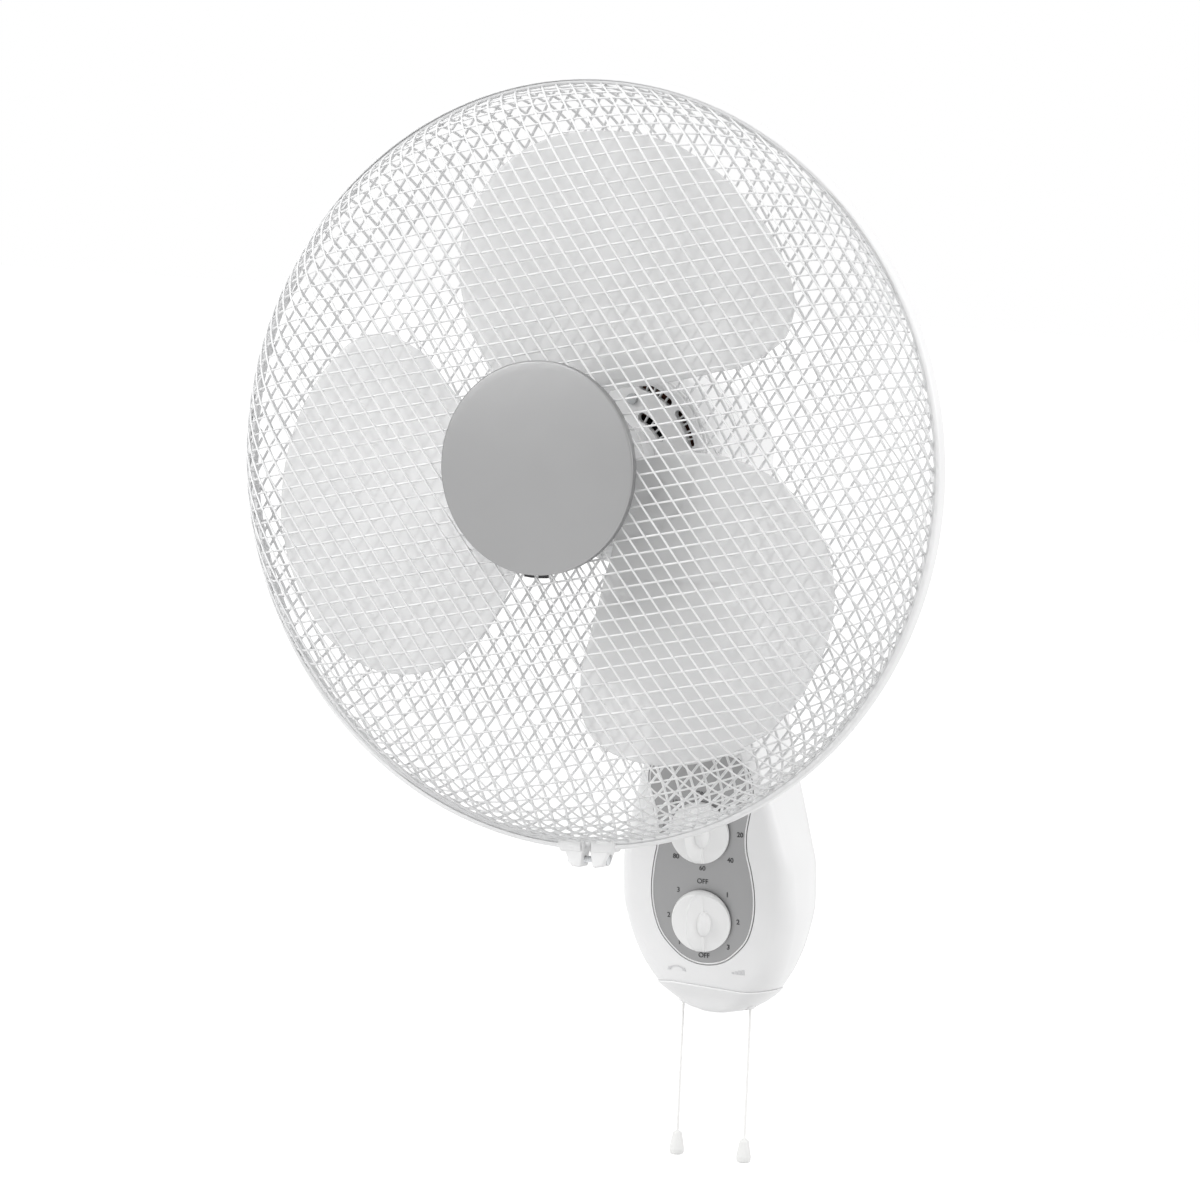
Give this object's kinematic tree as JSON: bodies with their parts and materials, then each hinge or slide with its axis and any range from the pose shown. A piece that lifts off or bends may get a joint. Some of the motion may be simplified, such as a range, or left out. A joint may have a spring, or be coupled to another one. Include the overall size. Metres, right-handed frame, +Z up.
{
  "type": "wall mounted fan",
  "caption": "Wall mounted oscillating fan: blades in a domed wire cage on a tilting, swinging head, tear-drop base with timer and speed knobs and pull cords.",
  "frame": {"origin": "wall face of the back plate, on the centre line, 96 mm above the lowest point of the base", "axes": "+X to the right seen from the front, +Y from the room into the wall, +Z up; the fan axis runs along Y"},
  "size_m": [0.434, 0.2973, 0.6393],
  "materials": {
    "shell_white": "satin white moulded plastic",
    "knob_white": "smooth white plastic",
    "cage_white": "white powder coat on wire",
    "blade_grey": "pale grey-white plastic, slightly translucent",
    "silver_finish": "satin silver lacquer",
    "steel": "zinc-plated steel",
    "dark_steel": "dark stamped steel",
    "winding_copper": "enamelled copper windings on a laminated core",
    "black_plastic": "black insulating plastic",
    "gland_rubber": "black rubber",
    "cord_white": "white woven cord"
  },
  "bodies": {
    "base": {"back_plate": "shell_white", "base_housing": "shell_white", "chin_cap": "shell_white", "control_panel": "silver_finish", "timer_unit": "dark_steel", "speed_switch": "black_plastic", "swing_switch": "black_plastic", "terminal_block": "black_plastic", "cable_gland": "gland_rubber", "speed_grommet": "shell_white", "swing_grommet": "shell_white", "tilt_bolt": "steel", "tilt_nut": "steel", "plate_screw_left": "steel", "plate_screw_right": "steel", "plate_screw_top": "steel"},
    "timer_knob": {"timer_knob": "knob_white", "timer_shaft": "steel"},
    "speed_knob": {"speed_knob": "knob_white", "speed_shaft": "steel"},
    "swing_pull": {"swing_pull_bar": "steel", "swing_cord": "cord_white", "swing_tassel": "cord_white"},
    "speed_pull": {"speed_pull_bar": "steel", "speed_cord": "cord_white", "speed_tassel": "cord_white"},
    "neck": {"neck": "shell_white", "swing_post": "steel", "post_clip": "steel"},
    "fan_head": {"motor_front_cover": "shell_white", "motor_rear_housing": "shell_white", "swing_carrier": "dark_steel", "swing_motor": "dark_steel", "stator": "winding_copper", "rear_bracket": "steel", "front_bearing": "steel", "rear_bearing": "steel", "capacitor": "black_plastic", "rear_grille": "cage_white", "grille_plate": "shell_white", "grille_lock_nut": "shell_white", "front_grille": "cage_white", "clamp_hoop": "shell_white", "clamp_screw": "steel", "clamp_nut": "steel", "centre_badge": "silver_finish", "badge_backing": "shell_white", "badge_screw_1": "steel", "badge_screw_2": "steel", "cover_screw_1": "steel", "cover_screw_2": "steel", "cover_screw_3": "steel"},
    "rotor": {"rotor": "dark_steel", "motor_shaft": "steel", "impeller": "blade_grey", "blade_nut": "blade_grey", "drive_pin": "steel"},
    "swing_crank": {"swing_crank": "steel"},
    "swing_link": {"swing_link": "steel"}
  },
  "joints": [
    {"name": "tilt", "type": "hinge", "parent": "base", "child": "neck", "pos_m": [0, -0.111, 0.13], "axis": [1, 0, 0], "range_deg": [-10, 25]},
    {"name": "swing", "type": "hinge", "parent": "neck", "child": "fan_head", "pos_m": [0, -0.111, 0.2], "axis": [0, 0, 1], "range_deg": [-42, 42]},
    {"name": "spin", "type": "hinge", "parent": "fan_head", "child": "rotor", "pos_m": [0, -0.232, 0.24], "axis": [0, 1, 0], "continuous": true},
    {"name": "crank", "type": "hinge", "parent": "fan_head", "child": "swing_crank", "pos_m": [0, -0.09, 0.18], "axis": [0, 0, 1], "range_deg": [-42, 42]},
    {"name": "link", "type": "hinge", "parent": "swing_crank", "child": "swing_link", "pos_m": [0.011, -0.09, 0.1755], "axis": [0, 0, 1], "range_deg": [-42, 42]},
    {"name": "timer_turn", "type": "hinge", "parent": "base", "child": "timer_knob", "pos_m": [0, -0.05932, 0.01621], "axis": [0, 0.989, 0.1478], "range_deg": [0, 315]},
    {"name": "speed_turn", "type": "hinge", "parent": "base", "child": "speed_knob", "pos_m": [0, -0.0514, -0.0368], "axis": [0, 0.989, 0.1478], "continuous": true},
    {"name": "swing_pull_slide", "type": "slide", "parent": "base", "child": "swing_pull", "axis": [0, 0, -1], "range_m": [0, 0.018], "stiffness_N_per_m": 150, "springref_m": -0.01},
    {"name": "speed_pull_slide", "type": "slide", "parent": "base", "child": "speed_pull", "axis": [0, 0, -1], "range_m": [0, 0.018], "stiffness_N_per_m": 150, "springref_m": -0.01}
  ],
  "couplings": [
    {"joint": "crank", "follows": "swing", "ratio": -1},
    {"joint": "link", "follows": "swing", "ratio": 1}
  ]
}
